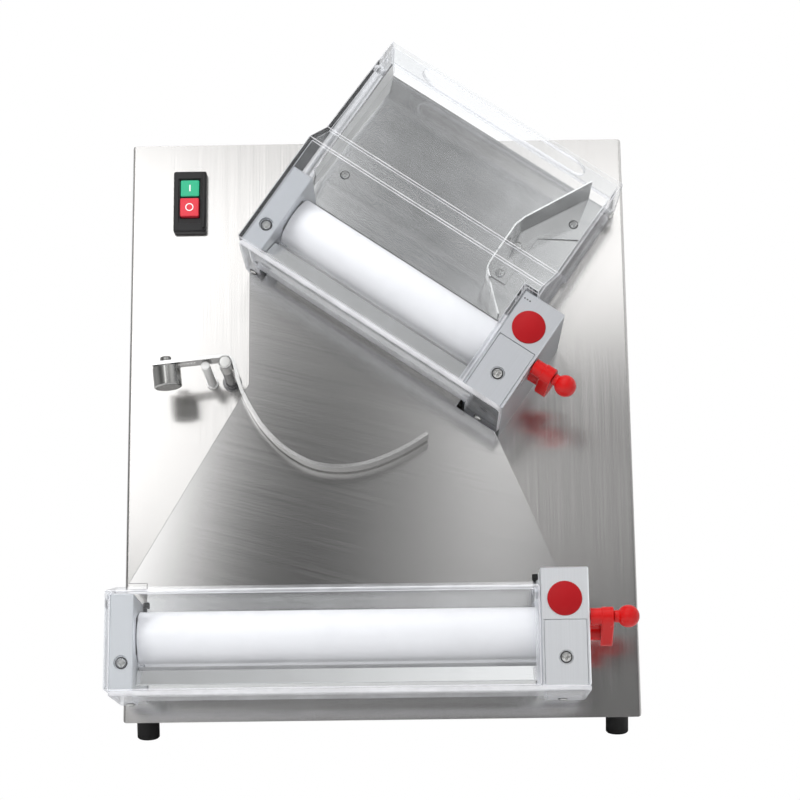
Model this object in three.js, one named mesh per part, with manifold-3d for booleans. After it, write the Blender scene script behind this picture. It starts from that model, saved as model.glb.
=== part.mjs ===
import * as THREE from 'three';
import { mergeVertices } from 'three/addons/utils/BufferGeometryUtils.js';
import Module from 'manifold-3d';

const wasm = await Module();
wasm.setup();

// Housing, millimetres
const bodyWidth = 480;
const bodyDepth = 290;
const faceLength = 565;
const lean = 20;
const sheet = 2;
const edgeRadius = 3;
const footHeight = 20;
const footRadius = 10.5;
const footInset = 21;
const gap = 0.3;

// Roller units: axis position on the leaning face, turn of the unit, end faces of the rollers
const rollerRadius = 23.4;
const rearAxis = 34;
const axisSpread = 48;
const frontAxis = rearAxis + axisSpread;
const journalRadius = 8;
const shaftRadius = 6;
const blockFront = 120;
const blockDrop = 50.5;
const blockRise = 54;
const shortRise = 35;
const wideBlock = 43;
const narrowBlock = 21.5;
const lowerInset = 24.5;
const leverRoom = 97;
const topRoom = 172.3;
const lowerUnit = {
  across: 0, up: 67.8, turn: 0, left: lowerInset - bodyWidth / 2, right: bodyWidth / 2 - leverRoom, leverTurn: 23,
};
const upperUnit = { across: 19.2, up: faceLength - topRoom, turn: 34.6, left: -116, right: 106.3, leverTurn: 1 };

// Gears
const gearModule = 3;
const rollerTeeth = 16;
const driveTeeth = 28;
const backlash = 0.36;
const gearFrom = 13;
const gearWidth = 12;
const driveAxis = rearAxis - gearModule * (rollerTeeth + driveTeeth) / 2;
const adjustTravel = 4;

// Clear guards
const guardFront = 124;
const clearSheet = 3.5;
const guardDrop = 50.2;
const guardPivot = [64, 41.5];
const rollerRoom = frontAxis + rollerRadius + adjustTravel + 1.2;

// Levers and index pins
const leverReach = 28;
const leverSwing = 42;
const pinOffset = 6;
const pinRadius = 3;
const knobRadius = 10;

// Balance arm
const pivot = [99.5 - bodyWidth / 2, faceLength - 241.5];
const armWidth = 20;
const armBack = 56;
const armThickness = 3.2;
const weightRadius = 13;
const weightLength = 20.5;

// Drive inside the housing
const pulleyRadius = 24;
const beltPlane = 4;
const motorAcross = 60;
const motorRadius = 36;
const gearboxAlong = 40;

const finishes = {
  steel: { color: 0xc9c8c6, roughness: 0.34, metalness: 1.0 },
  polished: { color: 0xd4d4d4, roughness: 0.18, metalness: 1.0 },
  block: { color: 0xb9c0c8, roughness: 0.42, metalness: 0.9 },
  cast: { color: 0x9aa0a6, roughness: 0.6, metalness: 0.8 },
  zinc: { color: 0x9b9ea2, roughness: 0.4, metalness: 0.9 },
  white: { color: 0xf1f1f3, roughness: 0.38, metalness: 0.0 },
  gear: { color: 0xe6e2d6, roughness: 0.5, metalness: 0.0 },
  red: { color: 0xc81414, roughness: 0.35, metalness: 0.0 },
  clear: { color: 0xeef3f5, roughness: 0.08, metalness: 0.0 },
  black: { color: 0x141414, roughness: 0.55, metalness: 0.0 },
  rubber: { color: 0x0f0f0f, roughness: 0.85, metalness: 0.0 },
  green: { color: 0x2fae74, roughness: 0.4, metalness: 0.0 },
  button: { color: 0xd8313f, roughness: 0.4, metalness: 0.0 },
  motor: { color: 0x4a4f55, roughness: 0.6, metalness: 0.5 },
};

const group = new THREE.Group();
const turnRad = THREE.MathUtils.degToRad;

// Frames: the leaning face, and each roller unit on it
const sinLean = Math.sin(turnRad(lean));
const cosLean = Math.cos(turnRad(lean));
const world = new THREE.Matrix4();
const face = new THREE.Matrix4().set(
  1, 0, 0, 0,
  0, sinLean, -cosLean, 0,
  0, cosLean, sinLean, 0,
  0, 0, 0, 1,
);

function unitFrame(unit) {
  const place = new THREE.Matrix4().makeTranslation(unit.across, unit.up, 0);
  const spin = new THREE.Matrix4().makeRotationZ(-turnRad(unit.turn));
  return face.clone().multiply(place).multiply(spin);
}

// Solids from geometry
function solid(geometry) {
  const bare = new THREE.BufferGeometry();
  bare.setAttribute('position', geometry.getAttribute('position'));
  if (geometry.index) {
    bare.setIndex(geometry.index);
  }
  const merged = mergeVertices(bare, 1e-4);
  const made = new wasm.Manifold(new wasm.Mesh({
    numProp: 3,
    vertProperties: new Float32Array(merged.getAttribute('position').array),
    triVerts: new Uint32Array(merged.index.array),
  }));
  return made;
}

function box(x0, x1, y0, y1, z0, z1) {
  const shape = new THREE.BoxGeometry(x1 - x0, y1 - y0, z1 - z0);
  shape.translate((x0 + x1) / 2, (y0 + y1) / 2, (z0 + z1) / 2);
  return solid(shape);
}

function extrude(points, from, to, bevel = 0, steps = 2) {
  const outline = new THREE.Shape(points.map((point) => new THREE.Vector2(point[0], point[1])));
  const shape = new THREE.ExtrudeGeometry(outline, {
    depth: to - from - 2 * bevel,
    bevelEnabled: bevel > 0,
    bevelThickness: bevel,
    bevelSize: bevel,
    bevelOffset: -bevel,
    bevelSegments: steps,
    curveSegments: 8,
  });
  shape.translate(0, 0, from + bevel);
  return solid(shape);
}

// Extrusion of a (second, third) outline along the first axis
function extrudeAcross(points, from, to, bevel = 0, steps = 2) {
  const made = extrude(points, from, to, bevel, steps);
  const turn = new THREE.Matrix4().set(
    0, 0, 1, 0,
    1, 0, 0, 0,
    0, 1, 0, 0,
    0, 0, 0, 1,
  );
  return made.transform(turn.elements);
}

function rodAcross(x0, x1, y, z, radius, segments = 16) {
  const shape = new THREE.CylinderGeometry(radius, radius, x1 - x0, segments);
  shape.rotateZ(-Math.PI / 2);
  shape.translate((x0 + x1) / 2, y, z);
  return solid(shape);
}

function rodOut(x, y, z0, z1, radius, segments = 16) {
  const shape = new THREE.CylinderGeometry(radius, radius, z1 - z0, segments);
  shape.rotateX(Math.PI / 2);
  shape.translate(x, y, (z0 + z1) / 2);
  return solid(shape);
}

function latheAcross(profile, y, z, segments = 40) {
  const shape = new THREE.LatheGeometry(profile.map((p) => new THREE.Vector2(p[1], p[0])), segments);
  shape.rotateZ(-Math.PI / 2);
  shape.translate(0, y, z);
  return solid(shape);
}

function latheOut(profile, x, y, segments = 32) {
  const shape = new THREE.LatheGeometry(profile.map((p) => new THREE.Vector2(p[1], p[0])), segments);
  shape.rotateX(Math.PI / 2);
  shape.translate(x, y, 0);
  return solid(shape);
}

function roundedRect(x0, x1, y0, y1, radius, steps = 4) {
  const points = [];
  const corners = [[x1 - radius, y0 + radius, -90], [x1 - radius, y1 - radius, 0],
    [x0 + radius, y1 - radius, 90], [x0 + radius, y0 + radius, 180]];
  for (const [cx, cy, start] of corners) {
    for (let step = 0; step <= steps; step += 1) {
      const angle = turnRad(start + 90 * step / steps);
      points.push([cx + radius * Math.cos(angle), cy + radius * Math.sin(angle)]);
    }
  }
  return points;
}

// Outline of a bent strip of even thickness along a line of points
function ribbon(points, thickness) {
  const left = [];
  const right = [];
  for (let i = 0; i < points.length; i += 1) {
    const before = points[Math.max(i - 1, 0)];
    const after = points[Math.min(i + 1, points.length - 1)];
    const here = points[i];
    const first = new THREE.Vector2(here[0] - before[0], here[1] - before[1]).normalize();
    const second = new THREE.Vector2(after[0] - here[0], after[1] - here[1]).normalize();
    const along = first.clone().add(second).normalize();
    const reach = thickness / 2 / Math.max(along.dot(i === 0 ? second : first), 0.5);
    left.push([here[0] - along.y * reach, here[1] + along.x * reach]);
    right.push([here[0] + along.y * reach, here[1] - along.x * reach]);
  }
  return right.concat(left.reverse());
}

function add(name, shape, finish, frame = world) {
  const moved = shape.transform(frame.elements);
  const out = moved.getMesh();
  const geometry = new THREE.BufferGeometry();
  geometry.setAttribute('position', new THREE.BufferAttribute(new Float32Array(out.vertProperties), 3));
  geometry.setIndex(new THREE.BufferAttribute(new Uint32Array(out.triVerts), 1));
  geometry.computeVertexNormals();
  const mesh = new THREE.Mesh(geometry, new THREE.MeshStandardMaterial(finishes[finish]));
  mesh.name = name;
  group.add(mesh);
}

// Spur gear outline with involute flanks
function gearOutline(teeth, phase) {
  const pitch = gearModule * teeth / 2;
  const base = pitch * Math.cos(turnRad(20));
  const tip = pitch + gearModule * 0.95;
  const root = pitch - gearModule * 1.22;
  const halfTooth = Math.PI / teeth / 2 - backlash / 2 / pitch;
  const involute = (angle) => Math.tan(angle) - angle;
  const atPitch = involute(turnRad(20));
  const points = [];
  const radii = [Math.max(base, root + 0.1), tip];
  for (let tooth = 0; tooth < teeth; tooth += 1) {
    const middle = (tooth / teeth) * 2 * Math.PI + phase;
    const flank = [];
    for (const radius of radii) {
      const used = Math.max(radius, base);
      const half = halfTooth + atPitch - involute(Math.acos(base / used));
      flank.push([radius, half]);
    }
    points.push([root, middle - halfTooth - atPitch - 0.02]);
    for (const [radius, half] of flank) {
      points.push([radius, middle - half]);
    }
    for (const [radius, half] of flank.reverse()) {
      points.push([radius, middle + half]);
    }
    points.push([root, middle + halfTooth + atPitch + 0.02]);
  }
  return points.map(([radius, angle]) => [radius * Math.sin(angle), radius * Math.cos(angle)]);
}

function gearAcross(teeth, phase, from, to, y, z) {
  const made = extrudeAcross(gearOutline(teeth, phase), from, to);
  return made.translate([0, y, z]);
}

// Housing: front, sides and top in one folded sheet
const faceDepth = faceLength * sinLean;
const bodyHeight = faceLength * cosLean;
const outerSide = [[0, 0], [bodyDepth, 0], [bodyDepth, bodyHeight], [faceDepth, bodyHeight]];
const innerFoot = sheet / cosLean;
const innerTop = bodyHeight - sheet;
const innerSide = [[innerFoot - sinLean / cosLean * 10, -10], [bodyDepth + 10, -10],
  [bodyDepth + 10, innerTop], [innerFoot + innerTop * sinLean / cosLean, innerTop]];
let shell = extrudeAcross(outerSide, -bodyWidth / 2, bodyWidth / 2, edgeRadius);
shell = shell.subtract(extrudeAcross(innerSide, -bodyWidth / 2 + sheet, bodyWidth / 2 - sheet));
// Openings in the face for the drive gears and the switch
for (const unit of [lowerUnit, upperUnit]) {
  const slot = box(unit.right + gearFrom - 2, unit.right + gearFrom + gearWidth + 2, -36, 36, -6, 4);
  shell = shell.subtract(slot.transform(unitFrame(unit).elements));
}
const switchLeft = 41.5 - bodyWidth / 2;
const switchTop = faceLength - 29.5;
const switchPlace = { left: switchLeft, right: switchLeft + 32, bottom: switchTop - 62, top: switchTop };
const switchHole = box(switchPlace.left + 3, switchPlace.right - 3,
  switchPlace.bottom + 5, switchPlace.top - 5, -6, 4);
shell = shell.subtract(switchHole.transform(face.elements));
add('body_shell', shell, 'steel');

// Floor of the housing
const floorSide = bodyWidth / 2 - sheet - gap;
const floorPlate = box(-floorSide, floorSide, innerFoot + gap + 1, bodyDepth, 0, sheet);
add('base_plate', floorPlate, 'steel');

// Rear cover: a shallow pan with cooling slots
let rear = box(-floorSide, floorSide, bodyDepth - 12, bodyDepth, sheet + gap, innerTop - gap);
rear = rear.subtract(box(-floorSide + sheet, floorSide - sheet, bodyDepth - 20, bodyDepth - sheet,
  2 * sheet + gap, innerTop - gap - sheet));
for (let row = 0; row < 7; row += 1) {
  for (const side of [-1, 1]) {
    rear = rear.subtract(box(side * 95 - 45, side * 95 + 45, bodyDepth - 10, bodyDepth + 10, 88 + row * 16, 92 + row * 16));
  }
}
rear = rear.subtract(rodOut(0, 0, -20, 20, 8.3, 24).rotate([90, 0, 0]).translate([-190, bodyDepth, 60]));
add('rear_cover', rear, 'steel');

// Gland for the supply lead
const glandProfile = [[-14, 0], [-14, 6.5], [-11, 6.5], [-11, 8], [2.3, 8], [2.3, 12], [7, 12], [10, 9], [16, 8],
  [18, 5], [18, 0]];
let gland = latheOut(glandProfile, 0, 0, 12);
gland = gland.subtract(rodOut(0, 0, -30, 30, 3.4, 16));
add('cable_gland', gland.rotate([-90, 0, 0]).translate([-190, bodyDepth, 60]), 'black');

// Feet
const footProfile = [[-footHeight, 0], [-footHeight, footRadius - 1.5], [-footHeight + 1.5, footRadius],
  [-gap - 1, footRadius], [-gap, footRadius - 1], [-gap, 0]];
let footCount = 0;
for (const depth of [footInset, bodyDepth - footInset]) {
  for (const side of [-1, 1]) {
    footCount += 1;
    const across = side * (bodyWidth / 2 - footInset);
    add(`foot_${footCount}`, latheOut(footProfile, across, depth, 20), 'rubber');
  }
}

// One roller unit: end blocks, rollers, slides, gears, scrapers, finger plate and lever
function buildUnit(name, unit, ear) {
  const frame = unitFrame(unit);
  const left = unit.left;
  const right = unit.right;
  const leftEnd = left - narrowBlock;
  const rightEnd = right + wideBlock;

  // Left end block
  let leftBlock = extrude(roundedRect(leftEnd, left, -blockDrop, shortRise, 1.5, 2), gap, blockFront, 1, 1);
  if (ear) {
    leftBlock = leftBlock.add(box(leftEnd, leftEnd + 8, shortRise - 4, guardPivot[1], 60, 68));
    leftBlock = leftBlock.add(rodAcross(leftEnd, leftEnd + 8, guardPivot[1], guardPivot[0], 4, 12));
    leftBlock = leftBlock.add(rodAcross(leftEnd - 3.2, leftEnd + 3, guardPivot[1], guardPivot[0], 2.7, 12));
  }
  leftBlock = leftBlock.subtract(rodAcross(left - 16, left + 5, 0, rearAxis, journalRadius + gap));
  leftBlock = leftBlock.subtract(box(left - 16, left + 5, -16.4, 16.4, 65.6, 98.4 + adjustTravel));
  leftBlock = leftBlock.subtract(rodOut((leftEnd + left) / 2, -25.8, blockFront - 4, blockFront + 5, 6.4, 18));
  add(`${name}_block_left`, leftBlock, 'block', frame);

  // Right end block with its gear room
  const inner = right + gearFrom - 0.7;
  const outer = right + 34;
  let rightBlock = extrude(roundedRect(right, rightEnd, -blockDrop, blockRise, 1.5, 2), gap, blockFront, 1, 1);
  rightBlock = rightBlock.subtract(box(inner, outer, -33, 35, -5, blockFront - 5));
  rightBlock = rightBlock.subtract(box(right + 3, inner + 1, -16.4, 16.4, 65.6, 98.4 + adjustTravel));
  rightBlock = rightBlock.subtract(box(right + 3, inner + 1, 10, 35, 71.6, 92.4 + adjustTravel));
  const shaftSlot = roundedRect(-journalRadius - gap, journalRadius + gap, frontAxis - journalRadius - gap,
    frontAxis + journalRadius + gap + adjustTravel, journalRadius, 6);
  rightBlock = rightBlock.subtract(extrudeAcross(shaftSlot, right - 5, right + 6));
  rightBlock = rightBlock.subtract(rodAcross(right - 5, inner + 1, 0, rearAxis, journalRadius + gap));
  rightBlock = rightBlock.subtract(rodAcross(outer - 1, rightEnd + 5, 0, frontAxis, 7 + gap));
  rightBlock = rightBlock.subtract(box(right + 2.5, rightEnd - 2.5, -blockDrop - 5, 7.5, blockFront - 3, blockFront + 5));
  rightBlock = rightBlock.subtract(box(inner, outer, -28, 4, blockFront - 8, blockFront));
  rightBlock = rightBlock.subtract(rodOut(right + 21.5, 25.8, blockFront - 4, blockFront + 5, 13.3, 24));
  // Curved track for the nose of the lever's pin: its two ends stop the lever
  const trackMiddle = [];
  for (let step = 0; step <= 8; step += 1) {
    const angle = turnRad(unit.leverTurn - step / 8 * leverSwing);
    trackMiddle.push([leverReach * Math.sin(angle), frontAxis + leverReach * Math.cos(angle)]);
  }
  const trackHalf = pinRadius + gap;
  rightBlock = rightBlock.subtract(extrudeAcross(ribbon(trackMiddle, 2 * trackHalf), rightEnd - 4, rightEnd + 4));
  for (const [up, out] of [trackMiddle[0], trackMiddle[8]]) {
    rightBlock = rightBlock.subtract(rodAcross(rightEnd - 4, rightEnd + 4, up, out, trackHalf, 12));
  }
  if (ear) {
    rightBlock = rightBlock.add(rodAcross(right - 3.6, right + 2, guardPivot[1], guardPivot[0], 2.7, 12));
  }
  add(`${name}_block_right`, rightBlock, 'block', frame);

  // Front cover of the gear room, with its screw seat
  let cover = extrude(roundedRect(right + 2.8, rightEnd - 2.8, -blockDrop + gap, 7.2, 1, 2),
    blockFront - 3 + gap, blockFront);
  cover = cover.subtract(rodOut(right + 21.5, -25.8, blockFront - 1.6, blockFront + 5, 6.4, 18));
  add(`${name}_block_cover`, cover, 'block', frame);
  const capSeat = [[blockFront - 4 + gap, 0], [blockFront - 4 + gap, 12.9], [blockFront + gap, 12.9],
    [blockFront + gap, 15.4], [blockFront + 0.9, 15.4], [blockFront + 1.4, 14.6], [blockFront + 1.4, 0]];
  add(`${name}_cap`, latheOut(capSeat, right + 21.5, 25.8, 24), 'red', frame);

  // Rollers with their stepped journals
  const journalLeft = left - 15;
  const shaftEnd = right + gearFrom + gearWidth + 0.3;
  const rollerProfile = [[journalLeft, 0], [journalLeft, journalRadius],
    [left + 0.6, journalRadius], [left + 0.6, rollerRadius - 1], [left + 1.6, rollerRadius],
    [right - 1.6, rollerRadius], [right - 0.6, rollerRadius - 1], [right - 0.6, journalRadius],
    [right + gearFrom - 0.4, journalRadius], [right + gearFrom - 0.4, shaftRadius], [shaftEnd, shaftRadius], [shaftEnd, 0]];
  add(`${name}_roller_rear`, latheAcross(rollerProfile, 0, rearAxis, 24), 'white', frame);
  add(`${name}_roller_front`, latheAcross(rollerProfile, 0, frontAxis, 24), 'white', frame);

  // Gears: a tooth of the rear gear faces a gap of its neighbours
  const from = right + gearFrom;
  const to = from + gearWidth;
  const half = Math.PI / rollerTeeth;
  for (const [part, z, phase] of [['rear', rearAxis, 0], ['front', frontAxis, half]]) {
    let gear = gearAcross(rollerTeeth, phase, from, to, 0, z);
    gear = gear.subtract(rodAcross(from - 5, to + 5, 0, z, shaftRadius + gap));
    add(`${name}_gear_${part}`, gear, 'gear', frame);
  }

  // Slides that carry the front roller
  let slideLeft = box(left - 15.6, left - 1, -16, 16, 66, 98);
  slideLeft = slideLeft.subtract(rodAcross(left - 20, left + 5, 0, frontAxis, journalRadius + gap));
  add(`${name}_slide_left`, slideLeft, 'zinc', frame);
  let yoke = box(right + 3.4, right + 12, -16, 16, 66, 98);
  yoke = yoke.add(box(right + 3.4, right + 30, 28.6, 34.4, 72, 92));
  yoke = yoke.add(box(right + 3.4, right + 12, 10, 34.4, 72, 92));
  yoke = yoke.add(box(right + 26, right + 30, -8, 34.4, 72, 92));
  yoke = yoke.subtract(rodAcross(right - 5, right + 20, 0, frontAxis, journalRadius + gap));
  const pinSlot = roundedRect(1, 9.6, frontAxis - 3.35, frontAxis + 3.35, 3.3, 4);
  yoke = yoke.subtract(extrudeAcross(pinSlot, right + 24, right + 32));
  add(`${name}_yoke`, yoke, 'zinc', frame);

  // Scrapers: bent blades that end just short of each roller
  const bladeSpan = [left + 0.4, right - 0.4];
  const rearBlade = ribbon([[-26.6, 31], [-32, 20], [-44, 14], [-44, 6]], 1.6);
  const frontBlade = ribbon([[-26.8, 86], [-31, 95], [-44, 101]], 1.6);
  const rearScraper = extrudeAcross(rearBlade, bladeSpan[0], bladeSpan[1]);
  const frontScraper = extrudeAcross(frontBlade, bladeSpan[0], bladeSpan[1]);
  add(`${name}_scraper_rear`, rearScraper, 'steel', frame);
  add(`${name}_scraper_front`, frontScraper, 'steel', frame);

  // Clear finger plate under the blocks, open towards the chute
  const plateTop = -blockDrop - gap;
  const outline = roundedRect(leftEnd, rightEnd, 36, guardFront, 5, 3);
  let fingerPlate = extrude(outline, 0, 4.5).rotate([90, 0, 0]);
  fingerPlate = fingerPlate.subtract(box(left - 6, right + 6, -10, 10, 30, 74));
  fingerPlate = fingerPlate.translate([0, plateTop, 0]);
  add(`${name}_finger_plate`, fingerPlate, 'clear', frame);

  // Thickness lever with its eccentric pin, and the spring pin that locks it
  const turn = turnRad(unit.leverTurn);
  const tipUp = leverReach * Math.sin(turn);
  const tipOut = frontAxis + leverReach * Math.cos(turn);
  let lever = rodAcross(right + 30.4, right + 33.6, 0, frontAxis, 10.4);
  lever = lever.add(rodAcross(right + 33, rightEnd + 14, 0, frontAxis, 7));
  lever = lever.add(rodAcross(right + 26.2, right + 32, pinOffset, frontAxis, 3, 12));
  const plate = leverPlate(12.5, 8.5, leverReach);
  const turned = plate.map(([out, up]) => [out * Math.sin(turn) + up * Math.cos(turn),
    out * Math.cos(turn) - up * Math.sin(turn) + frontAxis]);
  lever = lever.add(extrudeAcross(turned, rightEnd + 11, rightEnd + 22, 0.8, 1));
  lever = lever.add(rodAcross(rightEnd + 1.2, rightEnd + 12, tipUp, tipOut, 7.6));
  lever = lever.subtract(rodAcross(rightEnd - 5, rightEnd + 30, tipUp, tipOut, 3 + gap, 12));
  add(`${name}_lever`, lever, 'red', frame);
  const knobMiddle = rightEnd + 35;
  const pinProfile = [[rightEnd - 2.6, 0], [rightEnd - 2.6, 2.2], [rightEnd - 1.8, 3], [rightEnd + 22.4, 3],
    [rightEnd + 22.4, 5.4]];
  for (let step = 1; step < 8; step += 1) {
    const angle = turnRad(148 - step * 18.5);
    pinProfile.push([knobMiddle + knobRadius * Math.cos(angle), knobRadius * Math.sin(angle)]);
  }
  pinProfile.push([knobMiddle + knobRadius, 0]);
  add(`${name}_index_pin`, latheAcross(pinProfile, tipUp, tipOut, 14), 'red', frame);
}

// Outline of a lever: a wide end at the origin and a narrow end along the first axis
function leverPlate(wide, narrow, reach) {
  const flankTurn = Math.asin((wide - narrow) / reach);
  const points = [];
  for (let step = 0; step <= 7; step += 1) {
    const angle = Math.PI / 2 - flankTurn + step / 7 * (Math.PI + 2 * flankTurn);
    points.push([wide * Math.cos(angle), wide * Math.sin(angle)]);
  }
  for (let step = 0; step <= 6; step += 1) {
    const angle = -Math.PI / 2 + flankTurn + step / 6 * (Math.PI - 2 * flankTurn);
    points.push([reach + narrow * Math.cos(angle), narrow * Math.sin(angle)]);
  }
  return points;
}

buildUnit('lower', lowerUnit, true);
buildUnit('upper', upperUnit, false);

// Hood over the upper rollers: clear folded sheet, notched around the wide block
const upperFrame = unitFrame(upperUnit);
const hoodLeft = upperUnit.left - narrowBlock - 0.5 - clearSheet;
const hoodRight = 120.5;
const hoodInner = upperUnit.right - 0.6;
const hoodTop = 203.5;
const hoodPivot = [24, 188];
const hoodOutline = [[guardFront, -guardDrop], [guardFront, 66.5], [91, 92], [77, hoodTop], [8, 199.5], [8, -guardDrop]];
const hoodHollow = [[guardFront - clearSheet, -guardDrop - 9], [guardFront - clearSheet, 65],
  [91 - clearSheet, 90.5], [77 - clearSheet - 0.3, hoodTop - clearSheet], [0, 199.5 - clearSheet], [0, -guardDrop - 9]];

function swap(points) {
  return points.map(([out, up]) => [up, out]);
}

const stepUp = blockRise + 1.3;
let hood = extrudeAcross(swap(hoodOutline), hoodLeft, hoodRight, 1.2);
hood = hood.subtract(box(hoodInner, hoodRight + 9, -90, stepUp, -20, 160));
let hollow = extrudeAcross(swap(hoodHollow), hoodLeft + clearSheet, hoodRight - clearSheet);
hollow = hollow.subtract(box(hoodInner - clearSheet, hoodRight + 9, -90, stepUp + clearSheet, -20, 160));
hood = hood.subtract(hollow);
hood = hood.subtract(box(hoodInner - clearSheet - 1, hoodInner + 1, -90, 27, -20, rollerRoom));
hood = hood.subtract(box(hoodInner - clearSheet - 1, hoodRight + 9, -90, 110, -20, 30));
const feedSlot = roundedRect(-104, 80, 38, 68, 14.5, 6);
hood = hood.subtract(extrude(feedSlot, hoodTop - 20, hoodTop + 20).rotate([-90, 0, 0]).mirror([0, 0, 1]));
hood = hood.subtract(box(hoodLeft + clearSheet, hoodRight - clearSheet, 180, 215, -20, 30));
for (const at of [hoodLeft, hoodRight]) {
  hood = hood.subtract(rodAcross(at - 6, at + 6, hoodPivot[1], hoodPivot[0], 3.2, 14));
}
add('hood', hood, 'clear', upperFrame);

// Hopper plate: sloping sheet with side flanges, hinge studs and spacers to the face
const hopperSlope = (up) => 16 + (199 - up) * 0.135;
const flangeLeft = upperUnit.left - narrowBlock + 1;
const flangeRight = hoodRight - clearSheet - 3;
const hopperTop = 193;
const hopperFoot = 36;
const hopperSheet = ribbon([[hopperFoot, hopperSlope(hopperFoot)], [hopperTop, hopperSlope(hopperTop)]], 1.6);
let hopper = extrudeAcross(hopperSheet, flangeLeft, flangeRight);
hopper = hopper.subtract(box(hoodInner - clearSheet - 0.5, flangeRight + 5, -20, stepUp + clearSheet + 0.6, 0, 80));
hopper = hopper.subtract(box(flangeLeft - 5, upperUnit.left + 0.5, -20, shortRise + 1, 0, 80));
const flangeOutline = (foot) => [[hopperTop, hopperSlope(hopperTop) - 0.8], [hopperTop, 46], [150, 46], [foot, 54],
  [foot, hopperSlope(foot) - 0.8]];
hopper = hopper.add(extrudeAcross(flangeOutline(60), flangeLeft, flangeLeft + 1.6));
const rightFoot = stepUp + clearSheet + 5;
hopper = hopper.add(extrudeAcross(flangeOutline(rightFoot), flangeRight - 1.6, flangeRight));
hopper = hopper.add(rodAcross(flangeLeft - 4.6, flangeLeft + 1, hoodPivot[1], hoodPivot[0], 2.7, 12));
hopper = hopper.add(rodAcross(flangeRight - 1, flangeRight + 6, hoodPivot[1], hoodPivot[0], 2.7, 12));
for (const [across, up] of [[-113, 77], [94.6, 157], [94.6, 68]]) {
  hopper = hopper.add(rodOut(across, up, gap, hopperSlope(up), 6, 12));
}
add('hopper_plate', hopper, 'steel', upperFrame);

// Guide wall on the hopper: bent strip standing on a foot
const wallLine = [[93.5, 191.5], [60, 126.5], [56.8, 116], [56.8, 72], [58, 66], [90, 36.5]];
let guide = extrude(ribbon(wallLine, 1.6), 0, 71);
const guideFoot = [[93.5, 191.5], [110, 191.5], [110, 150], [76, 128], [76, 70], [57, 70], [57, 120]];
guide = guide.add(extrude(guideFoot, 0, 71));
const overPlate = swap([[hopperSlope(230) + 1.2, 230], [hopperSlope(20) + 1.2, 20], [90, 20], [90, 230]]);
guide = guide.intersect(extrudeAcross(overPlate, 0, 140));
const aboveFoot = swap([[hopperSlope(230) + 2.8, 230], [hopperSlope(20) + 2.8, 20], [120, 20], [120, 230]]);
const wallZone = extrude(ribbon(wallLine, 1.6), -5, 80);
guide = guide.subtract(extrudeAcross(aboveFoot, 0, 140).subtract(wallZone));
guide = guide.subtract(box(50, 130, 20, 60, 60, 90));
add('hopper_guide', guide, 'steel', upperFrame);

// Chute: raised tray between the two units
const upperCos = Math.cos(turnRad(upperUnit.turn));
const upperSin = Math.sin(turnRad(upperUnit.turn));
const underUpper = (along, rise) => [upperUnit.across + along * upperCos + rise * upperSin,
  upperUnit.up - along * upperSin + rise * upperCos];
const alongTop = (along) => underUpper(along, -58);
const chuteTopLeft = alongTop(-129.7);
const chuteTopRight = alongTop(148);
const chuteFloor = lowerUnit.up + 54.8;
const chuteHeight = 50;
const chuteLeft = lowerUnit.left - 14.5;
const chuteRight = lowerUnit.right + 24;
const chuteCorner = [pivot[0] + 20, pivot[1] - 14];
const chuteOutline = [[chuteLeft, chuteFloor], [chuteRight, chuteFloor], chuteTopRight, chuteTopLeft, chuteCorner];
const chuteInside = [[chuteLeft + 2.6, chuteFloor - 9], [chuteRight - 1.8, chuteFloor - 9], [chuteTopRight[0] - 1.9, chuteTopRight[1] + 6],
  [chuteTopLeft[0] + 1.8, chuteTopLeft[1] + 6], [chuteCorner[0] + 1.8, chuteCorner[1] - 0.5]];
let chute = extrude(chuteOutline, gap, chuteHeight);
chute = chute.subtract(extrude(chuteInside, -5, chuteHeight - 1.8));
const lipFoot = lowerUnit.up + 23;
const lipLeft = lowerUnit.left + 2.5;
const lipRight = lowerUnit.right - 2.5;
const lip = extrude([[lipLeft, lipFoot], [lipRight, lipFoot], [lipRight, chuteFloor + 4], [lipLeft, chuteFloor + 4]],
  chuteHeight - 1.8, chuteHeight);
const tongueLeft = upperUnit.left + 1;
const tongueRight = upperUnit.right - 1;
const tongue = extrude([underUpper(tongueLeft, -62), underUpper(tongueRight, -62), underUpper(tongueRight, -29),
  underUpper(tongueLeft, -29)], chuteHeight - 1.8, chuteHeight);
chute = chute.add(lip).add(tongue);
add('chute_plate', chute, 'steel', face);

// Clear swinging guard in front of the lower rollers
const lowerFrame = unitFrame(lowerUnit);
const guardLeft = lowerUnit.left - narrowBlock - 0.5 - clearSheet;
const guardRight = lowerUnit.right - 0.6;
const guardOutline = [[guardFront, -guardDrop], [guardFront, 37.6], [58, 50.5], [56, 50.5], [56, -guardDrop]];
const guardHollow = [[guardFront - clearSheet, -guardDrop - 9], [guardFront - clearSheet, 35],
  [58, 47.5], [40, 47.5], [40, -guardDrop - 9]];
let guard = extrudeAcross(swap(guardOutline), guardLeft, guardRight, 1);
guard = guard.subtract(extrudeAcross(swap(guardHollow), guardLeft + clearSheet, guardRight - clearSheet));
guard = guard.subtract(box(guardRight - clearSheet - 1, guardRight + 1, -90, 27, 20, rollerRoom));
guard = guard.subtract(rodAcross(guardLeft - 2, guardLeft + clearSheet + 2, guardPivot[1], guardPivot[0], 3.2, 14));
guard = guard.subtract(rodAcross(guardRight - clearSheet - 2, guardRight + 2, guardPivot[1], guardPivot[0], 3.2, 14));
add('lower_guard', guard, 'clear', lowerFrame);

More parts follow.
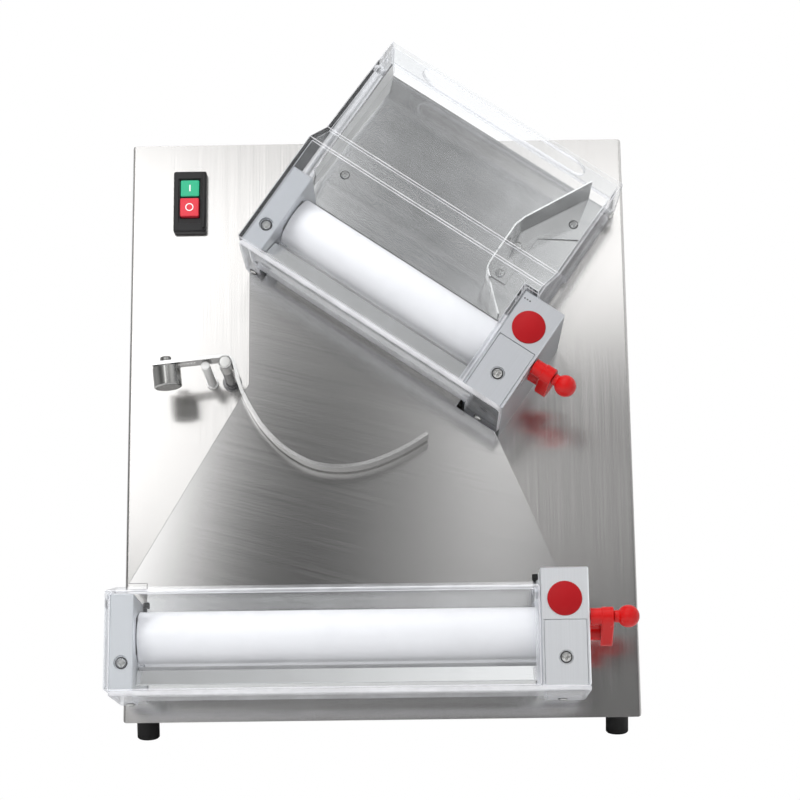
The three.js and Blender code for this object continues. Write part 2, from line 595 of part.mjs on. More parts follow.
// Switch with two push buttons
const sw = switchPlace;
const swMiddle = (sw.left + sw.right) / 2;
let switchBody = extrude(roundedRect(sw.left, sw.right, sw.bottom, sw.top, 2, 3), gap, 8, 1, 2);
switchBody = switchBody.add(box(sw.left + 3.4, sw.right - 3.4, sw.bottom + 5.4, sw.top - 5.4, -32, 3));
const wells = [['on_button', sw.top - 26.9, sw.top - 9.1, 9.4, 'green'], ['off_button', sw.top - 48.1, sw.top - 28.5, 12.6, 'button']];
for (const [part, low, high, reach, finish] of wells) {
  const well = box(swMiddle - 9.6, swMiddle + 9.6, low, high, -10, 20);
  switchBody = switchBody.subtract(well);
  const shape = roundedRect(swMiddle - 9.2, swMiddle + 9.2, low + 0.4, high - 0.4, 1.4, 2);
  add(part, extrude(shape, -6, reach, 0.7, 1), finish, face);
}
add('switch_body', switchBody, 'black', face);

// Balance arm: a bent strip on a hub, with its post, stop and weight
const postProfile = [[gap, 0], [gap, 9], [3, 9], [3, 6], [armBack - 0.6, 6], [armBack - 0.6, 4], [77.4, 4], [77.4, 0]];
let post = latheOut(postProfile, pivot[0], pivot[1], 18);
post = post.subtract(rodOut(pivot[0], pivot[1], 60, 90, 2.3, 16));
add('arm_post', post, 'polished', face);
const stopProfile = [[gap, 0], [gap, 6], [2.5, 6], [2.5, 4.2], [70, 4.2], [71, 3.4], [71, 0]];
const stopAt = [pivot[0] - 19, pivot[1] - 0.7];
add('stop_pin', latheOut(stopProfile, stopAt[0], stopAt[1], 14), 'white', face);
const fromPivot = ([across, up]) => [pivot[0] + across, pivot[1] + up];
const straight = [[-68, 0.4], [-41.5, 3.2], [-9.5, 6.4], [-0.5, 7.3]].map(fromPivot);
const bendPoints = [[4, 6.3], [7.5, 2], [9.3, -4.5], [13.1, -20.5], [22.5, -40.5], [34, -59], [50.5, -77],
  [69, -90], [83.5, -96], [98, -98.5], [115.5, -98.5], [133.5, -95.1], [152.5, -88], [170.5, -79],
  [186.5, -69]].map(fromPivot);
const armCurve = new THREE.CatmullRomCurve3(
  bendPoints.map((point) => new THREE.Vector3(point[0], point[1], 0)), false, 'centripetal');
const smooth = armCurve.getPoints(26).map((point) => [point.x, point.y]);
const armLine = straight.concat(smooth);
let arm = extrude(ribbon(armLine, armThickness), armBack, armBack + armWidth);
arm = arm.add(rodOut(pivot[0], pivot[1], armBack, 77, 6.6, 20));
arm = arm.subtract(rodOut(pivot[0], pivot[1], armBack - 5, 90, 4 + gap, 18));
const slotCut = roundedRect(pivot[0] - 64.5, pivot[0] - 26.5, armBack + 7.2, armBack + 12.8, 2.7, 4);
arm = arm.subtract(extrude(slotCut, pivot[1] - 23.5, pivot[1] + 21.5).rotate([-90, 0, 0]).mirror([0, 0, 1]));
add('balance_arm', arm, 'polished', face);
const screwProfile = [[62, 0], [62, 2], [77.8, 2], [77.8, 6.2], [80.4, 6.2], [81.4, 5], [81.4, 0]];
add('pivot_screw', latheOut(screwProfile, pivot[0], pivot[1], 16), 'zinc', face);

// Weight with its clamping bolt through the slot
const weightAt = [pivot[0] - 56, pivot[1] + 1.7];
const armTilt = Math.atan2(straight[1][1] - straight[0][1], straight[1][0] - straight[0][0]) * 180 / Math.PI;
const half = armThickness / 2;
const weightProfile = [[-half - gap - weightLength, 0], [-half - gap - weightLength, weightRadius - 1.2],
  [-half - gap - weightLength + 1.2, weightRadius], [-half - gap - 1.2, weightRadius], [-half - gap, weightRadius - 1.2],
  [-half - gap, 2.3], [half + gap, 2.3], [half + gap, 6.4], [half + gap + 1.2, 6.4], [half + gap + 1.2, 5.2],
  [half + gap + 4.6, 5.2], [half + gap + 5.4, 4.4], [half + gap + 5.4, 0]];
const weight = latheOut(weightProfile, 0, 0, 20).rotate([-90, 0, 0]);
add('counterweight', weight.rotate([0, 0, armTilt]).translate([weightAt[0], weightAt[1], armBack + armWidth / 2]),
  'polished', face);

// Drive: gearmotor, output shaft with gear and pulley, belt, angle box and upper drive gear
const low = lowerUnit.up;
const motorOut = -gap - sheet - 28.5;
let gearmotor = box(motorAcross - 27, motorAcross + 27, low - 32, low + 60, driveAxis - 29, driveAxis + 27);
gearmotor = gearmotor.intersect(box(-300, 300, -300, 900, -400, -sheet - gap - 0.4));
const motorProfile = [[low + 55, 0], [low + 55, motorRadius - 4], [low + 66, motorRadius - 4], [low + 66, motorRadius],
  [low + 180, motorRadius], [low + 184, motorRadius - 3], [low + 206, motorRadius - 3], [low + 209, motorRadius - 7],
  [low + 209, 0]];
const motorBody = latheOut(motorProfile, 0, 0, 18).rotate([-90, 0, 0]);
gearmotor = gearmotor.add(motorBody.translate([motorAcross, 0, motorOut - motorRadius + 20]));
gearmotor = gearmotor.subtract(rodAcross(motorAcross - 40, motorAcross + 40, low, driveAxis, 10 + gap));
for (const x of [motorAcross - 21, motorAcross + 21]) {
  gearmotor = gearmotor.add(box(x - 6, x + 6, low - 44, low - 30, driveAxis - 20, -sheet - gap - 0.4));
}
add('gearmotor', gearmotor, 'motor', face);

const pulleyHalf = 8;
function pulleyProfile(at, shaft) {
  return [[at - pulleyHalf, shaft], [at - pulleyHalf, pulleyRadius + 4], [at - pulleyHalf + 2, pulleyRadius + 4],
    [at - 4.2, pulleyRadius - 3.4], [at + 4.2, pulleyRadius - 3.4], [at + pulleyHalf - 2, pulleyRadius + 4],
    [at + pulleyHalf, pulleyRadius + 4], [at + pulleyHalf, shaft]];
}
const lowGearFrom = lowerUnit.right + gearFrom;
const driveProfile = [[beltPlane - 14, 0], [beltPlane - 14, 10], ...pulleyProfile(beltPlane, 10),
  [lowGearFrom - 4, 10], [lowGearFrom - 4, 14], [lowGearFrom - gap, 14], [lowGearFrom - gap, 9],
  [lowGearFrom + gearWidth + 8, 9], [lowGearFrom + gearWidth + 8, 0]];
add('drive_shaft', latheAcross(driveProfile, low, driveAxis, 16), 'zinc', face);
function driveGear(shaftHole, hubEnd, from) {
  let wheel = gearAcross(driveTeeth, Math.PI / driveTeeth, from, from + gearWidth, 0, driveAxis);
  wheel = wheel.add(rodAcross(from + gearWidth - 1, hubEnd, 0, driveAxis, 15, 20));
  wheel = wheel.subtract(rodAcross(from - 5, hubEnd + 5, 0, driveAxis, shaftHole, 20));
  return wheel;
}
add('lower_drive_gear', driveGear(9 + gap, lowGearFrom + gearWidth + 6, lowGearFrom), 'gear', lowerFrame);

// Angle box on the back of the face: input across, output along the upper unit
const [boxX, boxY] = underUpper(gearboxAlong, 0);
let angleBox = extrude(roundedRect(boxX - 27, boxX + 27, boxY - 27, boxY + 27, 10, 3), driveAxis - 28, -sheet - gap - 0.4, 2, 1);
angleBox = angleBox.subtract(rodAcross(boxX - 40, boxX - 14, boxY, driveAxis, 10 + gap));
const outBore = rodAcross(gearboxAlong + 14, gearboxAlong + 45, 0, driveAxis, 10 + gap);
const toFace = new THREE.Matrix4().makeTranslation(upperUnit.across, upperUnit.up, 0)
  .multiply(new THREE.Matrix4().makeRotationZ(-turnRad(upperUnit.turn)));
angleBox = angleBox.subtract(outBore.transform(toFace.elements));
add('angle_box', angleBox, 'cast', face);
const inputProfile = [[beltPlane - 10, 0], [beltPlane - 10, 10], ...pulleyProfile(beltPlane, 10),
  [boxX - 14.4, 10], [boxX - 14.4, 0]];
add('input_pulley', latheAcross(inputProfile, boxY, driveAxis, 16), 'zinc', face);
const upGearFrom = upperUnit.right + gearFrom;
const outputProfile = [[gearboxAlong + 14.4, 0], [gearboxAlong + 14.4, 10], [upGearFrom - 4, 10], [upGearFrom - 4, 14],
  [upGearFrom - gap, 14], [upGearFrom - gap, 9], [upGearFrom + gearWidth + 8, 9], [upGearFrom + gearWidth + 8, 0]];
add('output_shaft', latheAcross(outputProfile, 0, driveAxis, 20), 'zinc', upperFrame);
add('upper_drive_gear', driveGear(9 + gap, upGearFrom + gearWidth + 6, upGearFrom), 'gear', upperFrame);

// Belt between the two pulleys
function beltLoop(radius) {
  const points = [];
  for (let step = 0; step <= 14; step += 1) {
    const angle = Math.PI * step / 14;
    points.push([boxY + radius * Math.sin(angle), driveAxis + radius * Math.cos(angle)]);
  }
  for (let step = 0; step <= 14; step += 1) {
    const angle = Math.PI + Math.PI * step / 14;
    points.push([low + radius * Math.sin(angle), driveAxis + radius * Math.cos(angle)]);
  }
  return points;
}
let belt = extrudeAcross(beltLoop(pulleyRadius + 1.6), beltPlane - 3.2, beltPlane + 3.2);
belt = belt.subtract(extrudeAcross(beltLoop(pulleyRadius - 2.8), beltPlane - 9, beltPlane + 9));
add('drive_belt', belt, 'rubber', face);

// Ground the feet and centre the machine
const bounds = new THREE.Box3().setFromObject(group);
const middle = bounds.getCenter(new THREE.Vector3());
group.position.set(-middle.x, -middle.y, -bounds.min.z);
group.updateMatrixWorld(true);

export default group;
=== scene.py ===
import math

import bpy
import numpy as np
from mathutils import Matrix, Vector


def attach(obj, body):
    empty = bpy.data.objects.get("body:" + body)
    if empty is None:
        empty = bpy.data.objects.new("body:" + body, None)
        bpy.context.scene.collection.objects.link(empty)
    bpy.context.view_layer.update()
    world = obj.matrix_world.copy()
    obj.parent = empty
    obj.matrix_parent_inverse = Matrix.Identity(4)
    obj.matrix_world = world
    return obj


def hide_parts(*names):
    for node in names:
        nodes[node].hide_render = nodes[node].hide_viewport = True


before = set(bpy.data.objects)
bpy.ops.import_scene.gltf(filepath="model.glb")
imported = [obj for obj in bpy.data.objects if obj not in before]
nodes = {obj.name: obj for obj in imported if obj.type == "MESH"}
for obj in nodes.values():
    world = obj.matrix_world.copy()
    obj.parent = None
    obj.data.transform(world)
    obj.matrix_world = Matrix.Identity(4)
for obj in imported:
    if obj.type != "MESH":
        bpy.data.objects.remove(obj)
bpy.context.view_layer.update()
print("loaded", len(nodes), "CAD nodes")

# Places on the leaning face and in the two roller units, in metres and degrees
placing = {
    "lean": 20.0,
    "shift": (0.0005, -0.09788, 0.020),
    "lower": {"across": 0.0, "up": 0.0678, "turn": 0.0, "left": -0.2155, "right": 0.143,
              "leverTurn": 23.0},
    "upper": {"across": 0.0192, "up": 0.3927, "turn": 34.6, "left": -0.116, "right": 0.1063,
              "leverTurn": 1.0},
    "narrowBlock": 0.0215,
    "wideBlock": 0.043,
    "blockFront": 0.120,
    "rearAxis": 0.034,
    "frontAxis": 0.082,
}


def faceAxes():
    lean = math.radians(placing["lean"])
    across = np.array([1.0, 0.0, 0.0])
    up = np.array([0.0, math.sin(lean), math.cos(lean)])
    out = np.array([0.0, -math.cos(lean), math.sin(lean)])
    return across, up, out


def unitAxes(unit):
    across, up, out = faceAxes()
    turn = math.radians(unit["turn"])
    along = across * math.cos(turn) - up * math.sin(turn)
    rise = across * math.sin(turn) + up * math.cos(turn)
    return along, rise, out


def onFace(x, s, n):
    across, up, out = faceAxes()
    return np.array(placing["shift"]) + across * x + up * s + out * n


def onUnit(unit, a, b, n):
    along, rise, out = unitAxes(unit)
    return onFace(unit["across"], unit["up"], 0.0) + along * a + rise * b + out * n


lowerUnit = placing["lower"]
upperUnit = placing["upper"]


# Meshes from computed grids, with the finish of the given name
def meshPiece(name, points, faces, body, material, smooth=True):
    mesh = bpy.data.meshes.new(name)
    mesh.from_pydata(points.tolist(), [], faces)
    mesh.update()
    if smooth:
        mesh.polygons.foreach_set("use_smooth", np.ones(len(mesh.polygons), bool))
    mesh.materials.append(finish[material])
    piece = bpy.data.objects.new(name, mesh)
    bpy.context.scene.collection.objects.link(piece)
    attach(piece, body)
    return piece


def gridFaces(rows, columns):
    # Quads between ring i and i + 1: a = i*n + j, b = i*n + (j+1) mod n
    i = np.arange(rows - 1)[:, None] * columns
    j = np.arange(columns)[None, :]
    k = (j + 1) % columns
    return np.stack([i + j, i + k, i + columns + k, i + columns + j], axis=-1).reshape(-1, 4).tolist()


def basisFor(normal):
    normal = np.asarray(normal, float)
    normal = normal / np.linalg.norm(normal)
    helper = np.array([0.0, 0.0, 1.0]) if abs(normal[2]) < 0.9 else np.array([1.0, 0.0, 0.0])
    first = np.cross(helper, normal)
    first = first / np.linalg.norm(first)
    return first, np.cross(normal, first), normal


def revolved(name, centre, normal, profile, body, material, segments):
    # Point = centre + r cos t * u + r sin t * v + h * w for each (h, r) of the profile
    u, v, w = basisFor(normal)
    t = np.arange(segments) * 2 * math.pi / segments
    h, r = np.array(profile).T[:, :, None, None]
    ring = np.cos(t)[None, :, None] * u + np.sin(t)[None, :, None] * v
    points = (np.asarray(centre) + ring * r + w * h).reshape(-1, 3)
    faces = gridFaces(len(profile), segments)
    last = (len(profile) - 1) * segments
    faces.append(list(range(last, last + segments)))
    faces.append(list(range(segments - 1, -1, -1)))
    return meshPiece(name, points, faces, body, material)


# Brushed finishes: streak is how much the tone varies, stretch how far reflections spread
finishing = {
    "housing": {"tone": (0.64, 0.63, 0.62), "rough": 0.17, "streak": 0.13, "stretch": 0.8},
    "chute": {"tone": (0.60, 0.595, 0.59), "rough": 0.125, "streak": 0.09, "stretch": 0.96},
    "hopper": {"tone": (0.66, 0.66, 0.655), "rough": 0.12, "streak": 0.06, "stretch": 0.95},
    # Flange tone is painted light: the standing flanges of the hopper sheet are made lighter than the plate
    # to stand in for light falling on them
    "flange": {"tone": (0.88, 0.88, 0.875), "rough": 0.34, "streak": 0.05, "stretch": 0.8},
    # Block tones are painted light: the blocks of both units are one metal, painted lighter in the lower
    # unit and darker in the upper
    "lowerBlock": {"tone": (0.90, 0.92, 0.95), "rough": 0.40, "streak": 0.07, "stretch": 0.6},
    "upperBlock": {"tone": (0.69, 0.71, 0.745), "rough": 0.38, "streak": 0.07, "stretch": 0.6},
    "chuteTurn": -15.0,
}
# Noise scales across and along the grain, the spans of its values that count, and its relief
graining = {"Fine": (2300.0, 9.0), "Broad": (620.0, 2.6), "detail": 3.0, "fineShare": 0.65,
            "toneSpan": (0.25, 0.75), "roughSpan": (0.2, 0.8), "lighter": 0.5, "smoothest": 0.85,
            "roughest": 1.25, "relief": 0.03, "reliefDepth": 0.0002}
# Plain metal, plastic, paint and rubber: speckle is how much the tone varies, grit the scale of its relief
mottled = {
    "polishedMetal": {"tone": (0.72, 0.72, 0.715), "rough": 0.16, "speckle": 0.05, "grit": 700.0,
                      "metal": 1.0},
    # Painted shadow: dark ring under each screw head, standing in for the shade round it
    "seatDark": {"tone": (0.16, 0.16, 0.16), "rough": 0.5, "speckle": 0.1, "grit": 900.0, "metal": 1.0},
    "screwSteel": {"tone": (0.60, 0.60, 0.59), "rough": 0.22, "speckle": 0.08, "grit": 900.0, "metal": 1.0},
    "shaftSteel": {"tone": (0.45, 0.455, 0.46), "rough": 0.34, "speckle": 0.12, "grit": 900.0, "metal": 1.0},
    "postSteel": {"tone": (0.26, 0.26, 0.265), "rough": 0.16, "speckle": 0.10, "grit": 900.0, "metal": 1.0},
    "weightSteel": {"tone": (0.40, 0.40, 0.39), "rough": 0.22, "speckle": 0.10, "grit": 900.0, "metal": 1.0},
    "castMetal": {"tone": (0.42, 0.43, 0.45), "rough": 0.55, "speckle": 0.12, "grit": 500.0, "metal": 0.9},
    "rollerWhite": {"tone": (0.86, 0.855, 0.875), "rough": 0.32, "speckle": 0.03, "grit": 300.0},
    "pinWhite": {"tone": (0.85, 0.85, 0.84), "rough": 0.4, "speckle": 0.03, "grit": 600.0},
    "gearPlastic": {"tone": (0.74, 0.70, 0.60), "rough": 0.5, "speckle": 0.05, "grit": 600.0},
    "leverRed": {"tone": (0.56, 0.006, 0.006), "rough": 0.24, "speckle": 0.06, "grit": 900.0, "shine": 0.32},
    "capRed": {"tone": (0.38, 0.006, 0.010), "rough": 0.42, "speckle": 0.14, "grit": 1500.0, "shine": 0.22},
    "switchBlack": {"tone": (0.012, 0.012, 0.013), "rough": 0.42, "speckle": 0.15, "grit": 900.0},
    "rubberBlack": {"tone": (0.010, 0.010, 0.010), "rough": 0.75, "speckle": 0.25, "grit": 500.0},
    "buttonGreen": {"tone": (0.02, 0.42, 0.22), "rough": 0.33, "speckle": 0.05, "grit": 900.0},
    "buttonRed": {"tone": (0.68, 0.03, 0.05), "rough": 0.33, "speckle": 0.05, "grit": 900.0},
    "motorPaint": {"tone": (0.055, 0.062, 0.072), "rough": 0.5, "speckle": 0.12, "grit": 350.0},
    "markWhite": {"tone": (0.9, 0.9, 0.9), "rough": 0.5, "speckle": 0.02, "grit": 900.0},
}
mottling = {"scale": 18.0, "detail": 4.0, "gritDetail": 2.0, "span": (0.3, 0.7), "lighter": 0.4,
            "smoothest": 0.85, "roughest": 1.2, "relief": 0.08, "reliefDepth": 0.0002}
# Clear sheet and its cut edges: blend sets how soon reflections grow, cloud how milky it is; the milky white
# of the cut edges and bevelled folds is a painted highlight
clear = {
    "clearSheet": {"tone": (0.988, 0.993, 0.997), "rough": 0.03, "haze": (0.92, 0.93, 0.96),
                   "blend": 0.05, "cloud": (0.015, 0.05)},
    "clearEdgePaintedHighlight": {"tone": (0.95, 0.96, 0.975), "rough": 0.15, "haze": (0.95, 0.95, 0.98),
                  "blend": 0.02, "cloud": (0.42, 0.62)},
}
clouding = {"scale": 45.0, "detail": 6.0, "span": (0.4, 0.8)}
white = (1.0, 1.0, 1.0, 1.0)


def freshMaterial(name):
    material = bpy.data.materials.new(name)
    material.use_nodes = True
    tree = material.node_tree
    tree.nodes.clear()
    return material, tree


def place(tree, kind, inputs=None, **settings):
    made = tree.nodes.new(kind)
    for key, value in settings.items():
        setattr(made, key, value)
    for key, value in (inputs or {}).items():
        made.inputs[key].default_value = value
    return made


def endWith(tree, shader):
    out = place(tree, "ShaderNodeOutputMaterial")
    tree.links.new(shader.outputs[0], out.inputs["Surface"])


def spread(tree, source, span, result=(0.0, 1.0), **settings):
    # Values over the span become values over the result
    made = place(tree, "ShaderNodeMapRange", {"From Min": span[0], "From Max": span[1],
                                              "To Min": result[0], "To Max": result[1]}, **settings)
    tree.links.new(source, made.inputs["Value"])
    return made


def mixShaders(tree, factor, first, second):
    # The first shader where the factor is 0, the second where it is 1
    mixed = place(tree, "ShaderNodeMixShader")
    tree.links.new(factor, mixed.inputs["Fac"])
    tree.links.new(first.outputs[0], mixed.inputs[1])
    tree.links.new(second.outputs[0], mixed.inputs[2])
    return mixed


def grainGroup():
    # Noise at (across * fine, along * coarse), so that its streaks run along the second vector
    group = bpy.data.node_groups.new("grainField", "ShaderNodeTree")
    for name, way, kind in (("Across", "INPUT", "NodeSocketVector"), ("Along", "INPUT", "NodeSocketVector"),
                            ("Fine", "OUTPUT", "NodeSocketFloat"), ("Broad", "OUTPUT", "NodeSocketFloat")):
        group.interface.new_socket(name=name, in_out=way, socket_type=kind)
    start = place(group, "NodeGroupInput")
    end = place(group, "NodeGroupOutput")
    coords = place(group, "ShaderNodeTexCoord")
    dots = []
    for name in ("Across", "Along"):
        dot = place(group, "ShaderNodeVectorMath", operation="DOT_PRODUCT")
        group.links.new(coords.outputs["Object"], dot.inputs[0])
        group.links.new(start.outputs[name], dot.inputs[1])
        dots.append(dot)
    for label in ("Fine", "Broad"):
        join = place(group, "ShaderNodeCombineXYZ")
        for axis, dot, factor in zip("XY", dots, graining[label]):
            scale = place(group, "ShaderNodeMath", {1: factor}, operation="MULTIPLY")
            group.links.new(dot.outputs["Value"], scale.inputs[0])
            group.links.new(scale.outputs[0], join.inputs[axis])
        noise = place(group, "ShaderNodeTexNoise", {"Scale": 1.0, "Detail": graining["detail"]})
        group.links.new(join.outputs[0], noise.inputs["Vector"])
        group.links.new(noise.outputs[0], end.inputs[label])
    return group


grain = grainGroup()


def steelMaterial(name, kind, across, along):
    values = finishing[kind]
    material, tree = freshMaterial(name)
    field = place(tree, "ShaderNodeGroup", node_tree=grain)
    field.inputs["Across"].default_value = tuple(across)
    field.inputs["Along"].default_value = tuple(along)
    # Fine * share + broad * (1 - share)
    mixed = place(tree, "ShaderNodeMath", {1: graining["fineShare"]}, operation="MULTIPLY_ADD")
    tree.links.new(field.outputs["Fine"], mixed.inputs[0])
    broad = place(tree, "ShaderNodeMath", {1: 1.0 - graining["fineShare"]}, operation="MULTIPLY")
    tree.links.new(field.outputs["Broad"], broad.inputs[0])
    tree.links.new(broad.outputs[0], mixed.inputs[2])
    tone = spread(tree, mixed.outputs[0], graining["toneSpan"],
                  (1.0 - values["streak"], 1.0 + values["streak"] * graining["lighter"]))
    colour = place(tree, "ShaderNodeVectorMath", {0: values["tone"]}, operation="SCALE")
    tree.links.new(tone.outputs[0], colour.inputs["Scale"])
    rough = spread(tree, mixed.outputs[0], graining["roughSpan"],
                   (values["rough"] * graining["smoothest"], values["rough"] * graining["roughest"]))
    bump = place(tree, "ShaderNodeBump",
                 {"Strength": graining["relief"], "Distance": graining["reliefDepth"]})
    tree.links.new(field.outputs["Fine"], bump.inputs["Height"])
    shader = place(tree, "ShaderNodeBsdfPrincipled", {"Metallic": 1.0, "Anisotropic": values["stretch"]})
    tree.links.new(colour.outputs[0], shader.inputs["Base Color"])
    tree.links.new(rough.outputs[0], shader.inputs["Roughness"])
    tree.links.new(bump.outputs[0], shader.inputs["Normal"])
    # Reflections stretch across the grain
    blurWay = place(tree, "ShaderNodeCombineXYZ", dict(zip("XYZ", across)))
    tree.links.new(blurWay.outputs[0], shader.inputs["Tangent"])
    endWith(tree, shader)
    return material


def mottledMaterial(name):
    # Slight mottling of tone and gloss from noise over the object's own place
    values = mottled[name]
    material, tree = freshMaterial(name)
    coords = place(tree, "ShaderNodeTexCoord")
    wide = place(tree, "ShaderNodeTexNoise", {"Scale": mottling["scale"], "Detail": mottling["detail"]})
    fine = place(tree, "ShaderNodeTexNoise", {"Scale": values["grit"], "Detail": mottling["gritDetail"]})
    for noise in (wide, fine):
        tree.links.new(coords.outputs["Object"], noise.inputs["Vector"])
    tint = spread(tree, wide.outputs[0], mottling["span"],
                  (1.0 - values["speckle"], 1.0 + values["speckle"] * mottling["lighter"]))
    colour = place(tree, "ShaderNodeVectorMath", {0: values["tone"]}, operation="SCALE")
    tree.links.new(tint.outputs[0], colour.inputs["Scale"])
    gloss = spread(tree, wide.outputs[0], mottling["span"],
                   (values["rough"] * mottling["smoothest"], values["rough"] * mottling["roughest"]))
    bump = place(tree, "ShaderNodeBump",
                 {"Strength": mottling["relief"], "Distance": mottling["reliefDepth"]})
    tree.links.new(fine.outputs[0], bump.inputs["Height"])
    shader = place(tree, "ShaderNodeBsdfPrincipled",
                   {"Metallic": values.get("metal", 0.0), "Specular IOR Level": values.get("shine", 0.5)})
    tree.links.new(colour.outputs[0], shader.inputs["Base Color"])
    tree.links.new(gloss.outputs[0], shader.inputs["Roughness"])
    tree.links.new(bump.outputs[0], shader.inputs["Normal"])
    endWith(tree, shader)
    return material


def clearMaterial(name):
    # Thin clear sheet: straight through, with a reflection that grows at grazing angles, and some haze
    values = clear[name]
    material, tree = freshMaterial(name)
    through = place(tree, "ShaderNodeBsdfTransparent", {"Color": (*values["tone"], 1.0)})
    shine = place(tree, "ShaderNodeBsdfGlossy", {"Roughness": values["rough"], "Color": white})
    haze = place(tree, "ShaderNodeBsdfDiffuse", {"Color": (*values["haze"], 1.0)})
    facing = place(tree, "ShaderNodeLayerWeight", {"Blend": values["blend"]})
    coords = place(tree, "ShaderNodeTexCoord")
    dust = place(tree, "ShaderNodeTexNoise", {"Scale": clouding["scale"], "Detail": clouding["detail"]})
    tree.links.new(coords.outputs["Object"], dust.inputs["Vector"])
    amount = spread(tree, dust.outputs[0], clouding["span"], values["cloud"])
    sheet = mixShaders(tree, facing.outputs["Fresnel"], through, shine)
    endWith(tree, mixShaders(tree, amount.outputs[0], sheet, haze))
    return material


across, upFace, outFace = faceAxes()
chuteTurn = math.radians(finishing["chuteTurn"])
chuteAlong = across * math.cos(chuteTurn) + upFace * math.sin(chuteTurn)
chuteAcross = across * math.sin(chuteTurn) - upFace * math.cos(chuteTurn)
upperAlong, upperRise, upperOut = unitAxes(upperUnit)
depthWay, heightWay = np.array([0.0, 1.0, 0.0]), np.array([0.0, 0.0, 1.0])

# Values, then the ways across and along the grain
steels = {
    "housingSteel": ("housing", across, upFace),
    "sideSteel": ("housing", depthWay, heightWay),
    "chuteSteel": ("chute", chuteAcross, chuteAlong),
    "hopperSteel": ("hopper", upperRise, upperAlong),
    "flangePaintedLightSteel": ("flange", upperOut, upperRise),
    "stripSteel": ("hopper", upFace, across),
    "lowerBlockPaintedLightMetal": ("lowerBlock", across, upFace),
    "upperBlockPaintedLightMetal": ("upperBlock", upperAlong, upperRise),
}
finish = {name: steelMaterial(name, *values) for name, values in steels.items()}
finish.update({name: mottledMaterial(name) for name in mottled})
finish.update({name: clearMaterial(name) for name in clear})
print("materials made")

# Finish of each CAD node
nodeFinish = {
    "body_shell": "housingSteel", "base_plate": "sideSteel", "rear_cover": "housingSteel",
    "cable_gland": "switchBlack", "chute_plate": "chuteSteel", "hopper_plate": "hopperSteel",
    "hopper_guide": "hopperSteel", "switch_body": "switchBlack", "on_button": "buttonGreen",
    "off_button": "buttonRed", "arm_post": "postSteel", "stop_pin": "pinWhite",
    "pivot_screw": "screwSteel", "balance_arm": "polishedMetal", "counterweight": "weightSteel",
    "gearmotor": "motorPaint", "angle_box": "castMetal", "drive_shaft": "shaftSteel",
    "input_pulley": "shaftSteel", "output_shaft": "shaftSteel", "drive_belt": "rubberBlack",
    "hood": "clearSheet", "lower_guard": "clearSheet",
}
nodeFinish.update({f"foot_{number}": "rubberBlack" for number in range(1, 5)})
for unitName, stripMetal in (("lower", "stripSteel"), ("upper", "hopperSteel")):
    unitFinish = {
        # Each unit's blocks take that unit's painted-light tone of the one block metal
        f"{unitName}BlockPaintedLightMetal": ("block_left", "block_right", "block_cover"),
        "gearPlastic": ("gear_rear", "gear_front", "drive_gear"),
        "leverRed": ("lever", "index_pin"),
        "rollerWhite": ("roller_rear", "roller_front"),
        "shaftSteel": ("slide_left", "yoke"),
        stripMetal: ("scraper_rear", "scraper_front"),
        "capRed": ("cap",),
        "clearSheet": ("finger_plate",),
    }
    for name, unitParts in unitFinish.items():
        nodeFinish.update({f"{unitName}_{part}": name for part in unitParts})


def smoothGroup(limit):
    # Smooth faces, with edges over the limit kept sharp
    group = bpy.data.node_groups.new("smoothShade", "GeometryNodeTree")
    for way in ("INPUT", "OUTPUT"):
        group.interface.new_socket(name="Geometry", in_out=way, socket_type="NodeSocketGeometry")
    start = place(group, "NodeGroupInput")
    end = place(group, "NodeGroupOutput")
    smooth = place(group, "GeometryNodeSetShadeSmooth", domain="FACE")
    angle = place(group, "GeometryNodeInputMeshEdgeAngle")
    compare = place(group, "ShaderNodeMath", {1: math.radians(limit)}, operation="GREATER_THAN")
    sharp = place(group, "GeometryNodeSetShadeSmooth", {"Shade Smooth": False}, domain="EDGE")
    group.links.new(start.outputs[0], smooth.inputs["Geometry"])
    group.links.new(angle.outputs["Unsigned Angle"], compare.inputs[0])
    group.links.new(smooth.outputs[0], sharp.inputs["Geometry"])
    group.links.new(compare.outputs[0], sharp.inputs["Selection"])
    group.links.new(sharp.outputs[0], end.inputs[0])
    return group


# Bevel widths in metres, angles in degrees, and the distance under which points are merged
softened = {"width": 0.00035, "clearWidth": 0.0008, "turnedWidth": 0.0003, "fold": 40.0, "smooth": 34.0,
            "flat": 0.5, "merge": 0.00001}
smoothing = smoothGroup(softened["smooth"])


def softenEdges(piece, width, welded=True, edgeMaterial=-1):
    if welded:
        weld = piece.modifiers.new("weld", "WELD")
        weld.merge_threshold = softened["merge"]
        flat = piece.modifiers.new("flatten", "DECIMATE")
        flat.decimate_type = "DISSOLVE"
        flat.angle_limit = math.radians(softened["flat"])
        flat.delimit = {"MATERIAL"}
    bevel = piece.modifiers.new("edges", "BEVEL")
    bevel.width = width
    bevel.segments = 1
    bevel.limit_method = "ANGLE"
    bevel.angle_limit = math.radians(softened["fold"])
    bevel.material = edgeMaterial
    shade = piece.modifiers.new("smooth", "NODES")
    shade.node_group = smoothing
    if welded:
        weighted = piece.modifiers.new("weighted", "WEIGHTED_NORMAL")
        weighted.weight = 100
        weighted.keep_sharp = True


def readMesh(collection, field, width=1, kind=float):
    # One value, or width values, for each face, point or corner
    values = np.zeros(len(collection) * width, kind)
    collection.foreach_get(field, values)
    return values.reshape(-1, width) if width > 1 else values


# Faces count as one plane where normals and distances agree when rounded in these steps per unit
sorting = {"narrow": 0.0085, "normalSteps": 40, "distanceSteps": 4000, "standing": 0.8}


